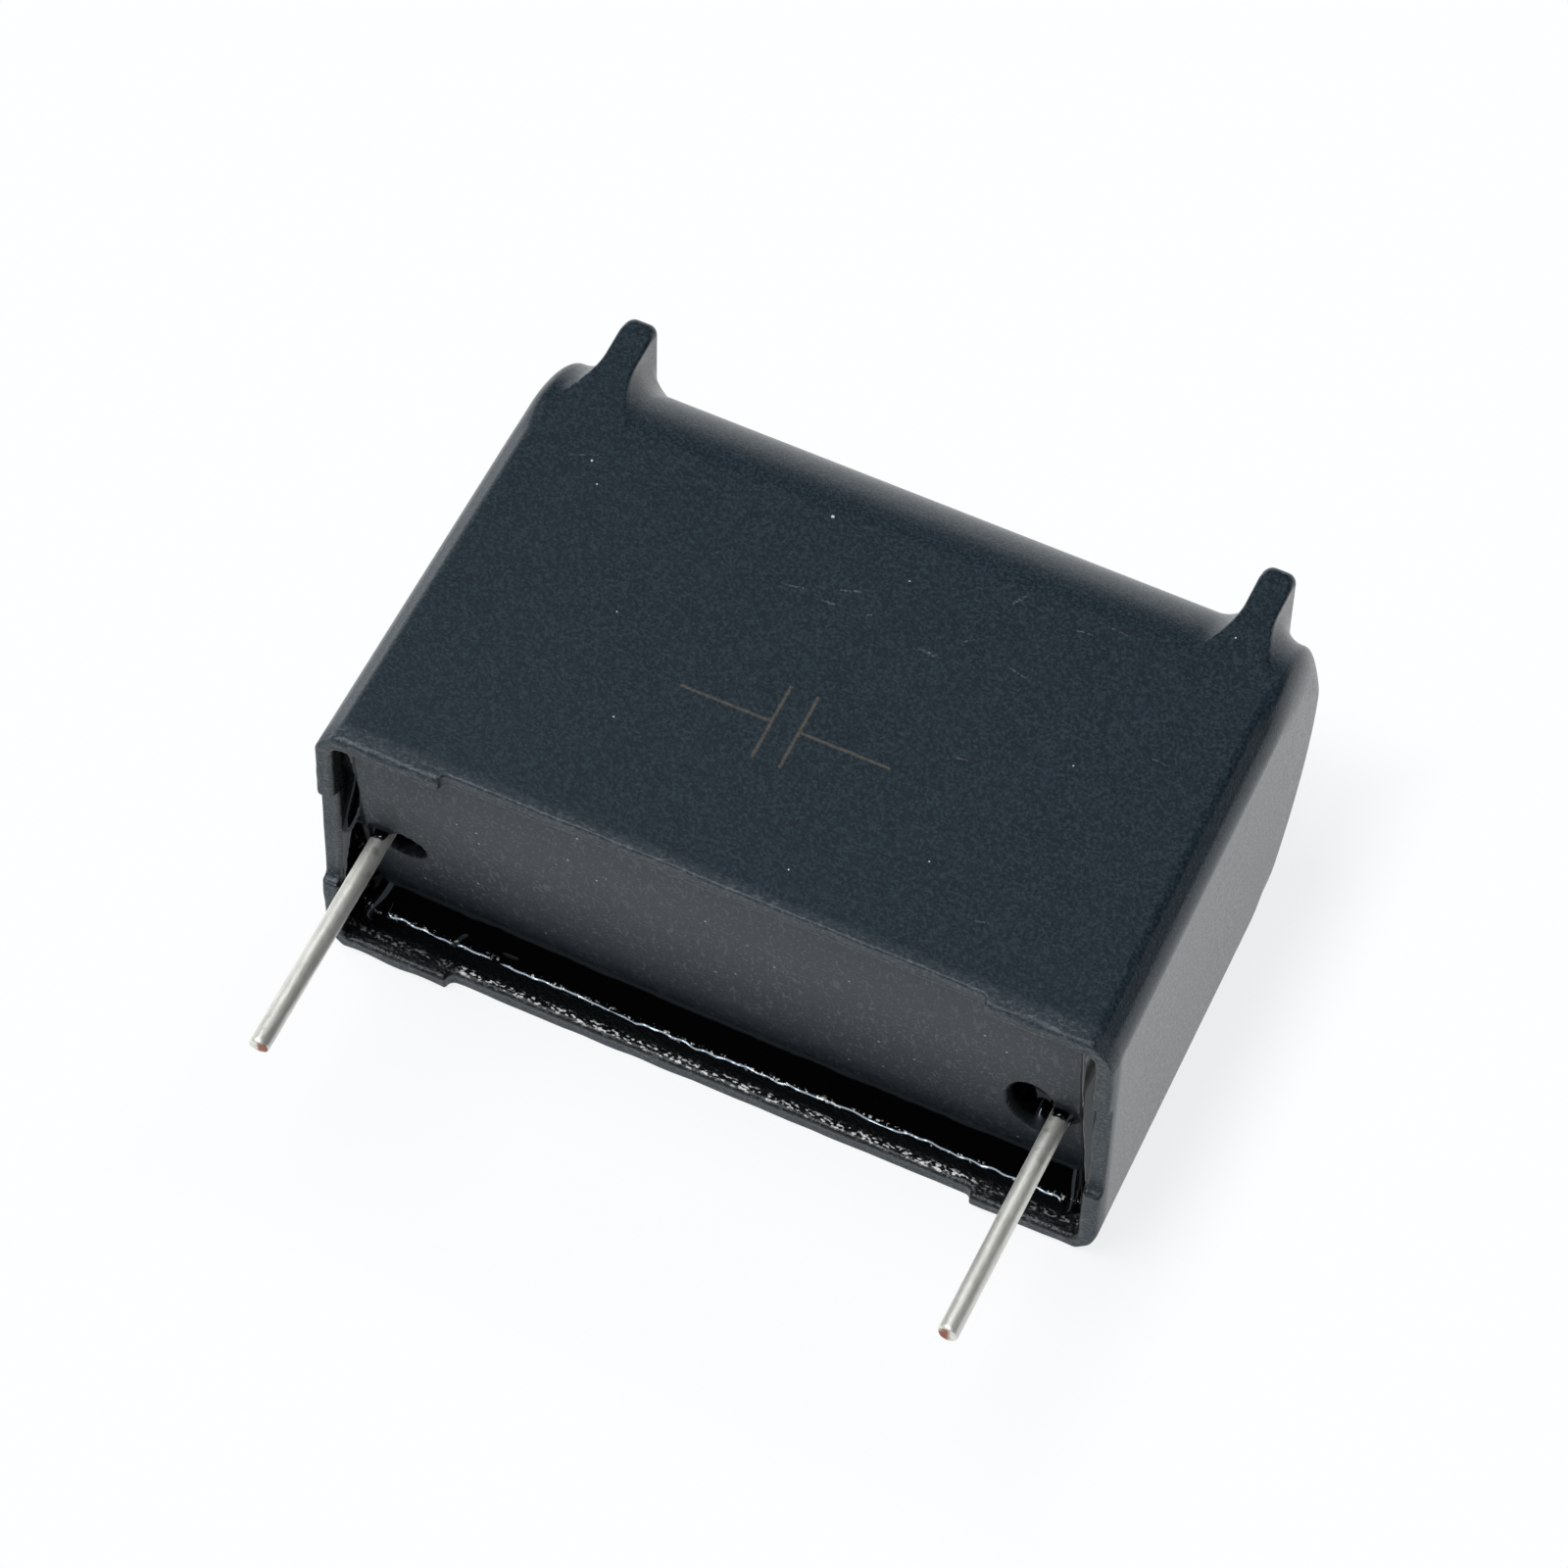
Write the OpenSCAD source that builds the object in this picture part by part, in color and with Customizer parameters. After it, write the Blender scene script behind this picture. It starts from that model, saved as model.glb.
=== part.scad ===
// Box-type film capacitor lying on one large face: X runs along the lead pitch,
// Y from the leads to the closed end, Z through the thickness. Millimetres.

/* [Case] */
// Length over the end walls at the seating plane
case_l = 31.8; // [29:0.1:36]
// Thickness over the two large faces
case_w = 14.4; // [13:0.1:20]
// Height from the seating plane to the crest of the closed end
case_h = 20.95; // [19:0.05:26]
// Moulded wall thickness
wall = 0.75; // [0.5:0.05:1]
// Draft of each end wall in degrees
end_draft = 0.95; // [0:0.05:1.5]
// Chamfer between each end wall and the large faces
edge_chamfer = 0.8; // [0.3:0.05:1.2]
// Radius between each end wall and the closed end
end_edge_r = 0.8; // [0.5:0.05:1.2]
// Radius between each end wall and the round upper edge of the closed end
end_corner_r = 2.1; // [1:0.05:2.6]

/* [Closed end] */
// Radius of the crowned closed end
crown_r = 12; // [11:0.1:16]
// Height of the crest over the lower large face
crest_z = 9.7; // [8:0.1:11]
// Radius from the upper large face into the closed end
upper_edge_r = 4; // [2.5:0.1:4.5]
// Radius from the lower large face into the closed end
lower_edge_r = 2.5; // [1.5:0.1:3]

/* [Standoff feet] */
// Height of the feet over the rim
foot_h = 0.4; // [0.2:0.05:0.8]
// Reach of a foot along the long wall
foot_x = 5.1; // [3:0.1:8]
// Reach of a foot along the end wall
foot_z = 4.2; // [2:0.1:5]
// Radius where a foot steps down to the rim
foot_step_r = 0.3; // [0.1:0.05:0.3]
// Chamfer on the outer edge of the feet
foot_chamfer = 0.15; // [0.05:0.05:0.35]

/* [Horns] */
// Distance from the end of the case to the middle of a horn
horn_inset = 2.85; // [2.4:0.05:5]
// Width of a horn
horn_w = 1.32; // [1:0.02:2]
// Height of a horn's tip over the crest of the closed end
horn_rise = 1.05; // [0.5:0.05:3]
// Thickness of a horn at its tip
horn_t = 4.6; // [2:0.1:6]
// Lean of a horn's back below its tip in degrees
horn_lean = 35; // [20:1:45]
// Radius at the corners of a horn's tip
horn_tip_r = 0.4; // [0.2:0.05:0.5]
// Radius of the fillets at a horn's root
horn_root_r = 0.95; // [0.5:0.05:1.2]

/* [Leads] */
// Distance from the end of the case to the middle of a lead
lead_inset = 2.15; // [1.9:0.05:4]
// Diameter of the lead wire
lead_d = 0.8; // [0.5:0.05:1]
// Length of the leads below the seating plane
lead_len = 9; // [3:0.5:30]
// Thickness of the flattened inner end of a lead
lead_flat_t = 0.45; // [0.4:0.01:0.6]
// Height over the resin's level at which a lead turns flat, inside its meniscus
lead_flat_rise = 0.18; // [0.1:0.01:0.25]

/* [Potting] */
// Depth of the resin's level below the rim
resin_recess = 1.5; // [1.1:0.05:2.5]
// Radius of the meniscus along the walls
meniscus_r = 0.8; // [0.3:0.05:0.9]
// Radius of the level resin in the corners between the walls, inside the meniscus
corner_flat_r = 1.2; // [0.9:0.1:3]
// Radius of the meniscus round each lead
lead_meniscus_r = 0.7; // [0.3:0.05:0.9]

/* [Winding] */
// Least resin between the winding and the case walls
winding_cover = 0.6; // [0.3:0.05:1.2]
// Resin over the winding on the lead side
lead_side_cover = 1.2; // [0.8:0.1:3]
// Thickness of the sprayed metal on each end of the winding
spray_t = 0.45; // [0.2:0.05:0.8]
// Room between a lead's flat end and the sprayed metal, filled by the weld
weld_gap = 0.1; // [0.05:0.05:0.3]
// Radius of a weld on the sprayed metal
weld_r = 1.4; // [1:0.1:2]
// Metal over the lead at the middle of a weld
weld_cover = 0.15; // [0.1:0.05:0.2]
// Lead end beyond the middle of its weld
lead_past_weld = 1.8; // [1.5:0.1:4]

/* [Hidden] */

$fn = 96;
LEFT = -1;
RIGHT = 1;
// Thickness of the plates that the drafted shapes are drawn between
plate_t = 1;
// Reach of cutting shapes past what they cut
past = 1;
// Depth by which the fillets at a horn's root run into the case
fillet_sink = 0.04;
// Steps along the lower edge radius, the crown and the upper edge radius of the closed end
lower_steps = 6;
crown_steps = 10;
upper_steps = 14;
// Steps across the radius between an end wall and the closed end
edge_steps = 6;
// Steps on the round parts of the open space over the resin
space_fn = 32;

half_l = case_l / 2;
mid_z = case_w / 2;
// Distances between the horns' and between the leads' centre lines
horn_pitch = case_l - 2 * horn_inset;
lead_pitch = case_l - 2 * lead_inset;
tip_y = case_h + horn_rise;
// The origin lies under the middle of the whole part, on the lower large face
origin_y = (tip_y - lead_len) / 2;

rim_y = foot_h;
resin_y = rim_y + resin_recess;
contact_y = resin_y - meniscus_r;

// Circle centres of the side section: crown, upper edge and lower edge
crown_y = case_h - crown_r;
upper_z = case_w - upper_edge_r;
upper_y = crown_y + sqrt(pow(crown_r - upper_edge_r, 2) - pow(upper_z - crest_z, 2));
lower_z = lower_edge_r;
lower_y = crown_y + sqrt(pow(crown_r - lower_edge_r, 2) - pow(lower_z - crest_z, 2));
// The horns start on the flat of the upper large face
horn_start_y = upper_y - past;
// Directions from the crown's centre in which its arc meets the two edge radii
upper_angle = atan2(upper_z - crest_z, upper_y - crown_y);
lower_angle = atan2(lower_z - crest_z, lower_y - crown_y);

cavity_half_w = mid_z - wall;
lead_x = lead_pitch / 2;
lead_r = lead_d / 2;
// The flattened end has the section area of the round wire
lead_flat_w = PI * lead_r * lead_r / lead_flat_t;
lead_flat_y = resin_y - lead_flat_rise;
// The sprayed layers lie inside the leads' flat ends
spray_x = lead_x - lead_flat_t / 2 - weld_gap;
winding_half_l = spray_x - spray_t;
// The flattened winding: round at both ends, with its far end against the closed end's resin
winding_r = cavity_half_w - winding_cover;
winding_near_y = resin_y + lead_side_cover;
winding_far_y = case_h - wall - winding_cover - (winding_r - (upper_edge_r - wall - winding_cover)) / 2;
weld_y = (winding_near_y + winding_far_y) / 2;
weld_h = lead_flat_t + weld_gap + weld_cover;
weld_ball_r = (weld_r * weld_r + weld_h * weld_h) / (2 * weld_h);
lead_end_y = weld_y + lead_past_weld;

// Moves a shape from the seating plane's frame to the part's own frame
module placed() {
    translate([0, -origin_y, 0]) children();
}

// Turns a section drawn in Y and Z into a solid from x0 with length l along X
module along_x(x0, l) {
    translate([x0, 0, 0]) rotate([90, 0, 90]) linear_extrude(l) children();
}

// Points on an arc of radius r round c from angle a to angle b
function arc(c, r, a, b, steps) =
    [for (i = [0 : steps]) c + r * [cos(a + (b - a) * i / steps), sin(a + (b - a) * i / steps)]];

// Points on the inner part of that arc, without its two ends
function arc_between(c, r, a, b, steps) =
    [for (i = [1 : steps - 1]) c + r * [cos(a + (b - a) * i / steps), sin(a + (b - a) * i / steps)]];

// Y-Z section of the case, drawn smaller by inset, and by top_inset along its upper side;
// it starts at y0 on the lower and at y1 on the upper side
module side_section(inset, top_inset, y0, y1) {
    polygon(concat(
        [[y0, inset]],
        arc([lower_y, lower_z], lower_edge_r - inset, -90, lower_angle, lower_steps),
        arc_between([crown_y, crest_z], crown_r - inset, lower_angle, upper_angle, crown_steps),
        arc([upper_y, upper_z], upper_edge_r - top_inset, upper_angle, 90, upper_steps),
        [[y1, case_w - top_inset]]
    ));
}

// Y-Z section of the straight part of the case, between the feet's chamfer and the closed end's radii
module straight_section(inset) {
    polygon([[foot_chamfer, inset], [lower_y, inset], [upper_y, case_w - inset],
             [foot_chamfer, case_w - inset]]);
}

// Y-Z section of the case where the feet stand on the seating plane
module foot_section(inset) {
    polygon([[0, inset], [foot_chamfer, inset], [foot_chamfer, case_w - inset], [0, case_w - inset]]);
}

// A plate at distance x from the middle, leaning with the end wall
module end_plate(side, x) {
    translate([side * x, 0, 0]) rotate([0, 0, side * end_draft])
        along_x(side > 0 ? -plate_t : 0, plate_t) children();
}

// Space on the lead side of the plane at y
module before(y) {
    translate([-case_l, y - case_h, -past]) cube([2 * case_l, case_h, case_w + 2 * past]);
}

// Outside of the case without feet and horns
module case_block() {
    hull() {
        for (side = [LEFT, RIGHT]) {
            end_plate(side, half_l - edge_chamfer) foot_section(foot_chamfer);
            end_plate(side, half_l - foot_chamfer) foot_section(edge_chamfer);
            end_plate(side, half_l - edge_chamfer) straight_section(0);
            end_plate(side, half_l) straight_section(edge_chamfer);
            for (step = [0 : edge_steps]) {
                turn = 90 * step / edge_steps;
                end_plate(side, half_l - end_edge_r * (1 - cos(turn)))
                    side_section(end_edge_r * (1 - sin(turn)), end_corner_r * (1 - sin(turn)),
                                 lower_y - past, upper_y - past);
            }
        }
    }
}

// Inside of the case
module cavity() {
    hull() {
        for (side = [LEFT, RIGHT]) {
            end_plate(side, half_l - wall) side_section(wall, wall, -past, -past);
        }
    }
}

// X-Y outline of a horn with round corners at its tip
module horn_outline() {
    side_x = horn_w / 2;
    translate([-side_x, horn_start_y]) square([horn_w, tip_y - horn_tip_r - horn_start_y]);
    translate([-side_x + horn_tip_r, horn_start_y]) square([horn_w - 2 * horn_tip_r, tip_y - horn_start_y]);
    for (side = [LEFT, RIGHT]) {
        translate([side * (side_x - horn_tip_r), tip_y - horn_tip_r]) circle(horn_tip_r);
    }
}

// Y-Z section of a horn: flush with the upper large face, its back leaning in below the tip
module horn_section() {
    back_z = case_w - horn_t;
    polygon([[horn_start_y, 0], [tip_y - back_z * tan(horn_lean), 0], [tip_y, back_z],
             [tip_y, case_w - horn_tip_r], [tip_y - horn_tip_r, case_w], [horn_start_y, case_w]]);
    translate([tip_y - horn_tip_r, case_w - horn_tip_r]) circle(horn_tip_r);
}

// Fillets at a horn's root, rolled round the upper edge radius of the closed end
module horn_fillets() {
    ring_r = upper_edge_r + horn_root_r - fillet_sink;
    ring_x = horn_w / 2 + horn_root_r;
    rotate([0, 90, 0]) rotate_extrude() difference() {
        translate([0, -ring_x]) square([ring_r, 2 * ring_x]);
        for (side = [LEFT, RIGHT]) {
            translate([ring_r, side * ring_x]) circle(horn_root_r);
        }
    }
}

// One horn with its root fillets
module horn(side) {
    intersection() {
        translate([side * horn_pitch / 2, 0, 0]) {
            linear_extrude(case_w) horn_outline();
            translate([0, upper_y, upper_z]) horn_fillets();
        }
        along_x(-half_l, case_l) horn_section();
    }
}

// Space between two feet along one wall, rounded where the feet step down
module rim_gap(l) {
    translate([-l / 2 + foot_step_r, -past]) square([l - 2 * foot_step_r, past + foot_h]);
    translate([-l / 2, -past]) square([l, past + foot_h - foot_step_r]);
    for (side = [LEFT, RIGHT]) {
        translate([side * (l / 2 - foot_step_r), foot_h - foot_step_r]) circle(foot_step_r);
    }
}

module case() {
    long_gap = case_l - 2 * foot_x;
    end_gap = case_w - 2 * foot_z;
    color([0.13, 0.15, 0.17]) placed() difference() {
        union() {
            case_block();
            for (side = [LEFT, RIGHT]) horn(side);
        }
        cavity();
        translate([0, 0, -past]) linear_extrude(case_w + 2 * past) rim_gap(long_gap);
        translate([-case_l, 0, mid_z]) rotate([0, 90, 0]) linear_extrude(2 * case_l) rim_gap(end_gap);
    }
}

// Open space over the resin, rounded where the resin climbs the walls
module space_over_resin() {
    corner_r = corner_flat_r + meniscus_r;
    corner_x = half_l - wall - corner_r;
    corner_z = mid_z - wall - corner_r;
    hull() {
        for (x = [-corner_x, corner_x], z = [mid_z - corner_z, mid_z + corner_z]) {
            translate([x, resin_y, z]) rotate([90, 0, 0]) rotate_extrude($fn = space_fn) {
                square([corner_flat_r, resin_y + past]);
                translate([0, meniscus_r]) square([corner_r, resin_y + past - meniscus_r]);
                translate([corner_flat_r, meniscus_r]) circle(meniscus_r);
            }
        }
    }
}

// Resin drawn up round a lead
module lead_meniscus() {
    rotate([-90, 0, 0]) rotate_extrude() difference() {
        translate([0, -lead_meniscus_r]) square([lead_r + lead_meniscus_r, lead_meniscus_r + past]);
        translate([lead_r + lead_meniscus_r, -lead_meniscus_r]) circle(lead_meniscus_r);
    }
}

module potting_resin() {
    color([0.03, 0.03, 0.035]) placed() difference() {
        intersection() {
            union() {
                difference() {
                    cavity();
                    before(contact_y);
                    space_over_resin();
                }
                for (side = [LEFT, RIGHT]) {
                    translate([side * lead_x, resin_y, mid_z]) lead_meniscus();
                }
            }
            cavity();
        }
        winding_shape(-spray_x, 2 * spray_x);
        for (side = [LEFT, RIGHT]) {
            weld_blob(side);
            lead_wire(side);
        }
    }
}

// Flattened roll with round ends, from x0 with length l
module winding_shape(x0, l) {
    straight = winding_far_y - winding_near_y - 2 * winding_r;
    along_x(x0, l) translate([winding_near_y + winding_r, mid_z]) {
        circle(winding_r);
        translate([straight, 0]) circle(winding_r);
        translate([0, -winding_r]) square([straight, 2 * winding_r]);
    }
}

module film_winding() {
    color([0.72, 0.74, 0.76]) placed() winding_shape(-winding_half_l, 2 * winding_half_l);
}

module end_spray(side) {
    color([0.6, 0.6, 0.6]) placed() winding_shape(side > 0 ? winding_half_l : -spray_x, spray_t);
}

module end_spray_left() end_spray(LEFT);
module end_spray_right() end_spray(RIGHT);

// Lead wire: round outside, flattened to a strip under the resin's meniscus up to its end past the weld
module lead_wire(side) {
    translate([side * lead_x, 0, mid_z]) {
        translate([0, -lead_len, 0]) rotate([-90, 0, 0]) cylinder(lead_len + lead_flat_y, r = lead_r);
        translate([-lead_flat_t / 2, lead_flat_y, -lead_flat_w / 2])
            cube([lead_flat_t, lead_end_y - lead_flat_y, lead_flat_w]);
    }
}

module lead_left() color([0.78, 0.78, 0.75]) placed() lead_wire(LEFT);
module lead_right() color([0.78, 0.78, 0.75]) placed() lead_wire(RIGHT);

// Domed weld on the sprayed metal, closed over the lead: drawn on the left, mirrored to the right
module weld_blob(side) {
    reach = weld_r + past;
    mirror([side > 0 ? 1 : 0, 0, 0]) translate([-spray_x, weld_y, mid_z]) intersection() {
        translate([weld_ball_r - weld_h, 0, 0]) sphere(weld_ball_r);
        translate([-2 * reach, -reach, -reach]) cube(2 * reach);
    }
}

module lead_weld(side) {
    color([0.66, 0.66, 0.64]) placed() difference() {
        weld_blob(side);
        lead_wire(side);
    }
}

module lead_weld_left() lead_weld(LEFT);
module lead_weld_right() lead_weld(RIGHT);

case();
potting_resin();
film_winding();
end_spray_left();
end_spray_right();
lead_left();
lead_right();
lead_weld_left();
lead_weld_right();
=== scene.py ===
import math

import bpy
import numpy as np
from mathutils import Matrix


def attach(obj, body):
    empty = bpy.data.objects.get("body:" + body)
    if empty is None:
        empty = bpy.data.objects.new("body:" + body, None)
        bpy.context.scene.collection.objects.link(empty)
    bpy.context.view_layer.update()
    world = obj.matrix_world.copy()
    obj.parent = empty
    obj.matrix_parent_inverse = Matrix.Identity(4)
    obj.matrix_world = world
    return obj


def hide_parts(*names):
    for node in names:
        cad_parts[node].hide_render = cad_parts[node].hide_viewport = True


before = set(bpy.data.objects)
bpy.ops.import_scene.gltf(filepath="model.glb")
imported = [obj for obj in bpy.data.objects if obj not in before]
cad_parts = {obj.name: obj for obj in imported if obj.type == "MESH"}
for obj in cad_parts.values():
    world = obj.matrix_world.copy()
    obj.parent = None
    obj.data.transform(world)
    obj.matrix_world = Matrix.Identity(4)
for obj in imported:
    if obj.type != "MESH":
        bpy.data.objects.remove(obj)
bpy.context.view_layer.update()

# Lengths are in millimetres, measured from the seating plane at the feet, as in the part's source.
# A pair is where a smooth step starts and where it is complete.
MM = 0.001
ORIGIN_Y = 6.5

# Case: outer size, wall, draft of the ends
CASE_L = 31.8
CASE_W = 14.4
CASE_H = 20.95
WALL = 0.75
DRAFT = math.radians(0.95)
HALF_L = CASE_L / 2
MID_Z = CASE_W / 2

# Straight edges along the ends: chamfer, its rounding, and the rounding towards the large faces
EDGE_CHAMFER = 0.9
EDGE_R = 0.4
FACE_EDGE_R = 0.14

# Edges round the closed end: radius, radius at the upper corners, heights between which it grows,
# and the stretch in which the straight edges pass into these
END_EDGE_R = 0.8
END_CORNER_R = 2.1
CORNER_GROWS_Z = (9.6, 12.2)
EDGE_CHANGES_Y = (15.2, 17.4)

# Closed end: radius and crest of the crown, radii towards the upper and lower face, and where they meet
CROWN_R = 12.0
CREST_Z = 9.7
UPPER_R = 4.0
LOWER_R = 2.5
CROWN_Y = CASE_H - CROWN_R
UPPER_Z = CASE_W - UPPER_R
UPPER_Y = CROWN_Y + math.sqrt((CROWN_R - UPPER_R) ** 2 - (UPPER_Z - CREST_Z) ** 2)
LOWER_Y = CROWN_Y + math.sqrt((CROWN_R - LOWER_R) ** 2 - (LOWER_R - CREST_Z) ** 2)
UPPER_A = math.atan2(UPPER_Z - CREST_Z, UPPER_Y - CROWN_Y)
LOWER_A = math.atan2(LOWER_R - CREST_Z, LOWER_Y - CROWN_Y)

# Feet: height, reach along the large faces and up the ends, radius at their steps, edge of the gaps between
FOOT_H = 0.4
FOOT_X = 5.1
FOOT_Z = 4.2
FOOT_STEP_R = 0.3
GAP_EDGE_R = 0.10
GAP_HALF_X = HALF_L - FOOT_X

# Rim: outer chamfer, edge radius, inner radius, corner radius of the space inside
RIM_CHAMFER = 0.14
RIM_EDGE_R = 0.08
RIM_INNER_R = 0.2
CAVITY_CORNER_R = 0.45
# Its unevenness: height, wave length and seed of each layer, and the depth at which it fades inside
RIM_WAVES = ((0.020, 1.7, 3), (0.010, 1.0, 4))
RIM_WAVES_Y = (1.4, 0.3)
# How much of it the chamfer and the feet's ends take up
CHAMFER_VARIES = 3
FEET_VARY = 0.3

# Horns: middle, width, rise past the crest, thickness at the tip, lean of the far side
HORN_X = 13.05
HORN_W = 1.32
HORN_RISE = 1.05
HORN_T = 4.6
HORN_LEAN = math.radians(35)
TIP_Y = CASE_H + HORN_RISE
# Their roots end inside the case at this height
HORN_LOW_Z = 6.0
# Radii of their edges: at the tip, along the back, along the top, and what the top gains near the tip
HORN_EDGE_R = 0.42
HORN_BACK_R = 0.2
HORN_TOP_R = 0.14
HORN_TOP_GAIN = 0.26
HORN_TOP_Y = (TIP_Y - 0.9, TIP_Y - 0.2)
# Fillet at their roots: radius, share left at the back, and heights between which it grows
HORN_ROOT_R = 0.95
ROOT_LEAST = 0.06
ROOT_GROWS_Z = (7.2, 10.4)
# What the fillet gains on the inner side, below the face and short of the tip
HORN_FLARE_R = 1.1
FLARE_X = (0.2, -0.3)
FLARE_Z = (13.4, 9.8)
FLARE_Y = (TIP_Y - 0.1, TIP_Y - 1.0)

# Masks on the case's inner wall: painted shade that darkens the plastic down to the resin, and the strip of
# painted glints along the rim, which is full along the lower wall between the feet
INSIDE_NEAR = (0.30, 0.12)
INSIDE_Y = (2.4, 1.8)
LIP_NEAR = (0.07, 0.03)
LIP_STARTS_Y = (0.46, 0.54)
LIP_ENDS_Y = (0.82, 0.70)
LIP_Z = (2.0, 1.2)
LIP_ELSEWHERE = 0.15
LIP_LESS_AT_FEET = 0.8
LIP_FEET_X = (GAP_HALF_X - 0.4, GAP_HALF_X + 0.2)

# Grid on which the case is meshed: start, end and step of each span, finer at edges and horns
CASE_GRID_X = ((0, 9.9, 0.45), (9.9, 11.0, 0.1), (11.0, 12.8, 0.075), (12.8, 14.9, 0.15), (14.9, 16.0, 0.07))
CASE_GRID_Y = ((-0.1, 0.75, 0.065), (0.75, 2.2, 0.18), (2.2, 14.2, 1.2), (14.2, 16.4, 0.3),
               (16.4, 22.1, 0.11))
CASE_GRID_Z = ((-0.1, 1.0, 0.07), (1.0, 3.7, 0.3), (3.7, 4.5, 0.1), (4.5, 9.9, 0.36), (9.9, 10.7, 0.1),
               (10.7, 13.4, 0.2), (13.4, 14.5, 0.07))

# Leads: half the pitch, radius, free length, where they turn flat, inner end, flat section of the same area
LEAD_X = 13.75
LEAD_R = 0.4
LEAD_LEN = 9.0
LEAD_FLAT_Y = 1.72
LEAD_TURN = 0.5
LEAD_END_Y = 12.35
LEAD_FLAT_T = 0.45
LEAD_FLAT_W = math.pi * LEAD_R ** 2 / LEAD_FLAT_T
# Their cut end: length and depth of its rounding, slant, radii of the rings that close it
CUT_LEN = 0.1
CUT_ROUND = 0.05
CUT_SLANT = 0.05
CUT_RINGS = (0.28, 0.18, 0.08)
# Depth and wave length of the wire's unevenness, points round the wire, step along it
LEAD_WAVE = 0.004
LEAD_WAVE_LEN = 1.2
LEAD_AROUND = 64
LEAD_STEP = 0.12

# Resin's level: depth at its lower crease, height of that crease, tilt and bow above it
RESIN_Y = 2.32
RESIN_LOW_Z = 1.83
RESIN_TILT = -0.265
RESIN_BOW = 0.0100
# Towards the left end the level lies deeper and tilts more, by these amounts
LEFT_DEEPER = 0.2
LEFT_TILT = -0.03
LEFT_X = (2.0, -14.0)
# Meniscus: width along the lower wall, slope where it starts and at the wall, softness of that start
MENISCUS_W = 1.05
START_SLOPE = 1.12
WALL_SLOPE = 1.95
CREASE = 0.02
# How much its slope at the wall varies, ripple close to the wall, waves of its width and of the level
WALL_VARIES = 0.07
RIPPLE = 0.003
RIPPLE_S = (0.45, 0.0)
CONTACT_WAVE = 0.03
LEVEL_WAVE = 0.006
# The end walls' meniscus is narrower by this factor
END_WALL_SHARE = 1.6
# Corner radius of the level, most rise in the corners
LEVEL_CORNER_R = 2.0
CORNER_RISE = 1.75
# Line of small light dots along the lower wall, painted glints on the meniscus: distance from the wall, half
# width, heights where it ends
GLINT_DOTS_S = 0.08
GLINT_DOTS_NEAR = (0.06, 0.01)
GLINT_DOTS_Z = (2.0, 1.4)
# Meniscus round a lead: width, slopes, and how it joins that of the wall
LEAD_W = 0.36
LEAD_START = 1.1
LEAD_SLOPE = 2.2
JOIN_POWER = 1.7
# Hollows beside the leads and along the left end wall: middle x and z, half widths
PITS = ((-13.0, 6.80, 0.95, 0.95), (12.55, 6.40, 1.12, 2.15), (-15.05, 10.4, 0.6, 2.9))
PIT_SLOPE = 3.0
PIT_DEPTH = 1.2
# Softness of the limits to the rise in corners, to the level and to the hollows
CORNER_SOFT = 0.2
TOP_SOFT = 0.15
PIT_SOFT = 0.4
# The resin stays this far behind the feet's plane, and its sides lie a little inside the walls
RESIN_TOP_Y = 0.48
RESIN_INSET = WALL - 0.03
RESIN_HALF = HALF_L - RESIN_INSET
# Grid of its level, and depths of the rings that carry its sides down to the closed end
RESIN_GRID_X = ((0, 10.6, 0.12), (10.6, RESIN_HALF, 0.08))
RESIN_GRID_Z = ((RESIN_INSET, 2.0, 0.055), (2.0, 3.9, 0.2), (3.9, 8.9, 0.09), (8.9, 12.4, 0.25),
                (12.4, CASE_W - RESIN_INSET, 0.07))
RESIN_RINGS = (4.0, 9.0, 15.0, 16.8, 18.0, 19.0, 19.7, 20.1)


# Distance fields

def rmax(a, b, r):
    """Overlap of two fields with a round outer edge of radius r."""
    u, v = np.maximum(a + r, 0), np.maximum(b + r, 0)
    return np.minimum(np.maximum(a, b), -r) + np.sqrt(u * u + v * v)


def rmin(a, b, r):
    """Union of two fields with a fillet of radius r."""
    u, v = np.maximum(r - a, 0), np.maximum(r - b, 0)
    return np.maximum(np.minimum(a, b), r) - np.sqrt(u * u + v * v)


def soft_min(a, b, k):
    """Smaller of two values, blended where they differ by less than k."""
    h = np.clip(0.5 + 0.5 * (b - a) / k, 0, 1)
    return b + (a - b) * h - k * h * (1 - h)


def ease(start, end, x):
    """Smooth step from 0 at start to 1 at end; start may be the larger."""
    t = np.clip((x - start) / (end - start), 0, 1)
    return t * t * (3 - 2 * t)


def waves(x, y, z, scale, seed, count=7):
    """Smooth noise from a few seeded plane waves, about -1 to 1."""
    rng = np.random.default_rng(seed)
    total = 0
    for _ in range(count):
        d = rng.normal(size=3)
        d *= rng.uniform(0.6, 1.5) / (np.linalg.norm(d) * scale) * 2 * math.pi
        total = total + np.sin(x * d[0] + y * d[1] + z * d[2] + rng.uniform(0, 6.28))
    return total / math.sqrt(count) / 1.3


def end_field(x, y):
    """The two drafted end walls."""
    return (np.abs(x) - HALF_L) * math.cos(DRAFT) + y * math.sin(DRAFT)


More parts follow.
